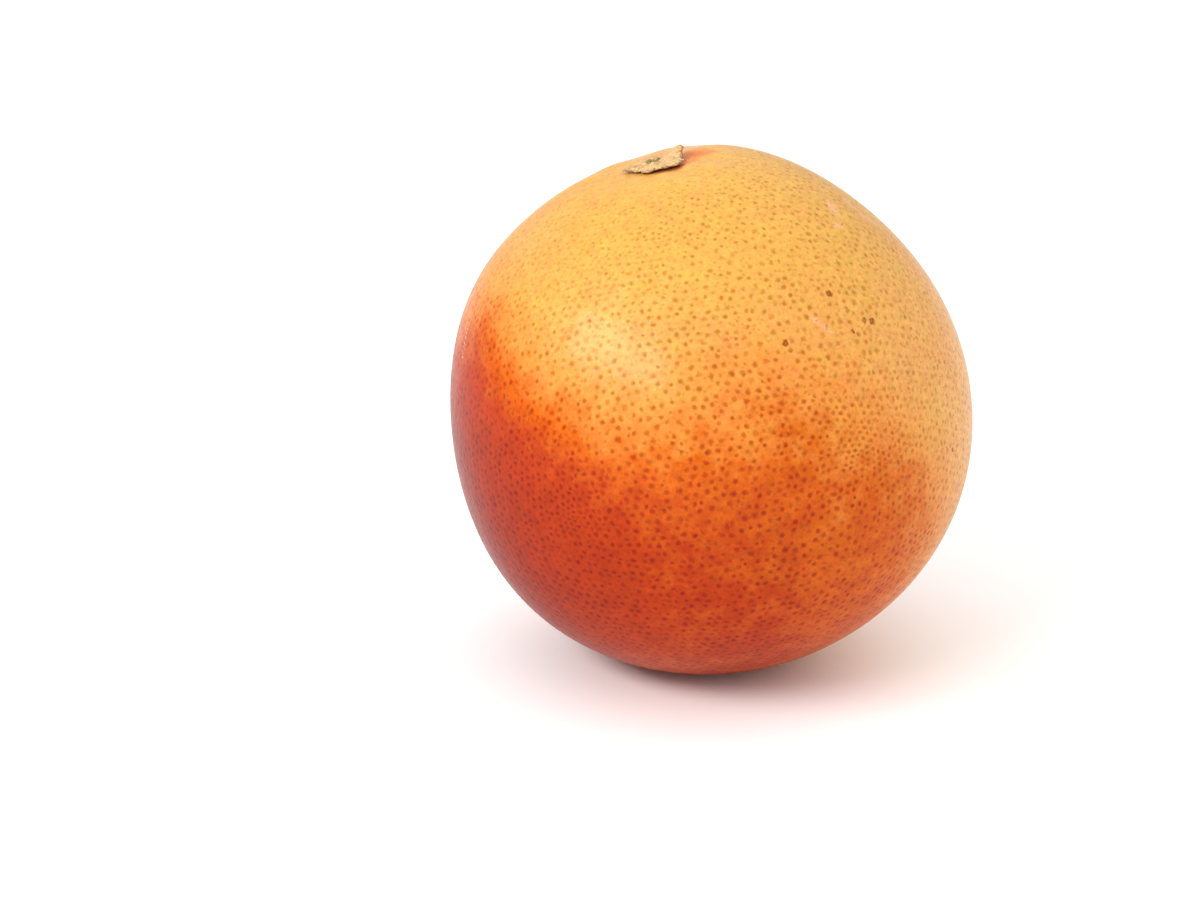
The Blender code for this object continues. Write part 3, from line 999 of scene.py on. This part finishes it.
def make_floor():
    """A level square, its corners half its width from the middle each way, white with a faint mottle."""
    corners = FLOOR_HALF * np.array([(-1, -1, 0), (1, -1, 0), (1, 1, 0), (-1, 1, 0)])
    floor = mesh_object("floor", corners, [(0, 1, 2, 3)])
    material, tree, shader, place = new_material("floor")
    shade = add_math(tree, "ADD", add_mottle(tree, place, 3.0, 0.02, 40.0, 0.01), 0.5)
    colour = add_mix(tree, shade, FLOOR_WHITE, (1, 1, 1, 1))
    tree.links.new(colour, shader.inputs["Base Color"])
    shader.inputs["Roughness"].default_value = FLOOR_ROUGHNESS
    floor.data.materials.append(material)
    return floor


floor = make_floor()
print("floor:", 2 * FLOOR_HALF, "m wide")


# %% [markdown]
# ## Light
#
# The white room lights the fruit from all sides, so the shadows are pale. It is brighter towards its
# ceiling, and a little brighter on the right. Lamps all round could do that too, but each would leave a
# gleam of its own. One soft light on the left, a little in front and above, gives the peel its one broad
# pale gleam. The light is wide and low in shape, because the gleam is.

# %% The room and the soft light
LEVEL_LIGHT, OVERHEAD_LIGHT, OVERHEAD_FROM = 0.66, 1.32, 0.9
RIGHTWARD_GAIN = 0.25
SOFT_LIGHT_FROM = (-0.635, -0.54, 0.56)
SOFT_LIGHT_AWAY = 0.75
SOFT_LIGHT_SIZE = (0.62, 0.2)
SOFT_LIGHT_POWER = 3.9


def make_room():
    """A white world, as strong as a smooth ramp of the direction's height, times (1 + gain x)."""
    world = bpy.data.worlds.new("room")
    world.use_nodes = True
    tree = world.node_tree
    background = tree.nodes["Background"]
    background.inputs["Color"].default_value = (1, 1, 1, 1)
    direction = add_node(tree, "ShaderNodeTexCoord").outputs["Generated"]
    parts = add_node(tree, "ShaderNodeSeparateXYZ", {0: direction}).outputs
    strength = add_ramp(tree, parts["Z"], 0.0, OVERHEAD_FROM, LEVEL_LIGHT, OVERHEAD_LIGHT)
    gain = add_math(tree, "MULTIPLY_ADD", parts["X"], RIGHTWARD_GAIN, 1.0)
    tree.links.new(add_math(tree, "MULTIPLY", strength, gain), background.inputs["Strength"])
    bpy.context.scene.world = world


def make_soft_light():
    """A rectangular lamp, at its distance from the fruit's middle along its ray, turned to face it."""
    lamp = bpy.data.lights.new("soft_light", "AREA")
    lamp.shape = "RECTANGLE"
    lamp.size, lamp.size_y = SOFT_LIGHT_SIZE
    lamp.energy = SOFT_LIGHT_POWER
    light = bpy.data.objects.new("soft_light", lamp)
    bpy.context.scene.collection.objects.link(light)
    away = unit(np.array(SOFT_LIGHT_FROM))
    light.location = MIDDLE + SOFT_LIGHT_AWAY * away
    tilt = math.atan2(math.hypot(away[0], away[1]), away[2])
    light.rotation_euler = (tilt, 0, math.atan2(away[0], -away[1]))
    return light


make_room()
soft_light = make_soft_light()
bpy.context.scene.view_settings.view_transform = "Standard"
print("soft light at", np.round(np.array(soft_light.location), 2))

# %% [markdown]
# ## The camera
#
# A long lens from a little above, as in the photograph. The fruit isn't in the middle of that picture, so
# the camera looks straight ahead from a place beside and above the fruit, and the fruit's middle falls on
# its own pixel.

# %% The camera
VIEW_HEIGHT = 18.0  # degrees above the level
VIEW_AWAY = 0.695  # metres from the fruit's middle
LENS, SENSOR = 100.0, 36.0  # millimetres
PICTURE = (1200, 900)
FRUIT_PIXEL = (707.8, 413.6)


def make_camera():
    """Back along the line of sight, then sideways and down by the pixel's offset from the picture's middle
    times the distance over the lens's length in pixels."""
    height = math.radians(VIEW_HEIGHT)
    rightward = np.array([1, 0, 0])
    upward = np.array([0, math.sin(height), math.cos(height)])
    ahead = np.array([0, math.cos(height), -math.sin(height)])
    step = VIEW_AWAY / (LENS / SENSOR * PICTURE[0])
    beside = step * (FRUIT_PIXEL[0] - PICTURE[0] / 2)
    above = step * (FRUIT_PIXEL[1] - PICTURE[1] / 2)
    camera = bpy.data.objects.new("camera", bpy.data.cameras.new("camera"))
    bpy.context.scene.collection.objects.link(camera)
    camera.data.lens, camera.data.sensor_width = LENS, SENSOR
    camera.location = MIDDLE - VIEW_AWAY * ahead - beside * rightward + above * upward
    camera.rotation_euler = (math.radians(90 - VIEW_HEIGHT), 0, 0)
    return camera


bpy.context.scene.camera = make_camera()
print("camera at", np.round(np.array(bpy.context.scene.camera.location), 3))
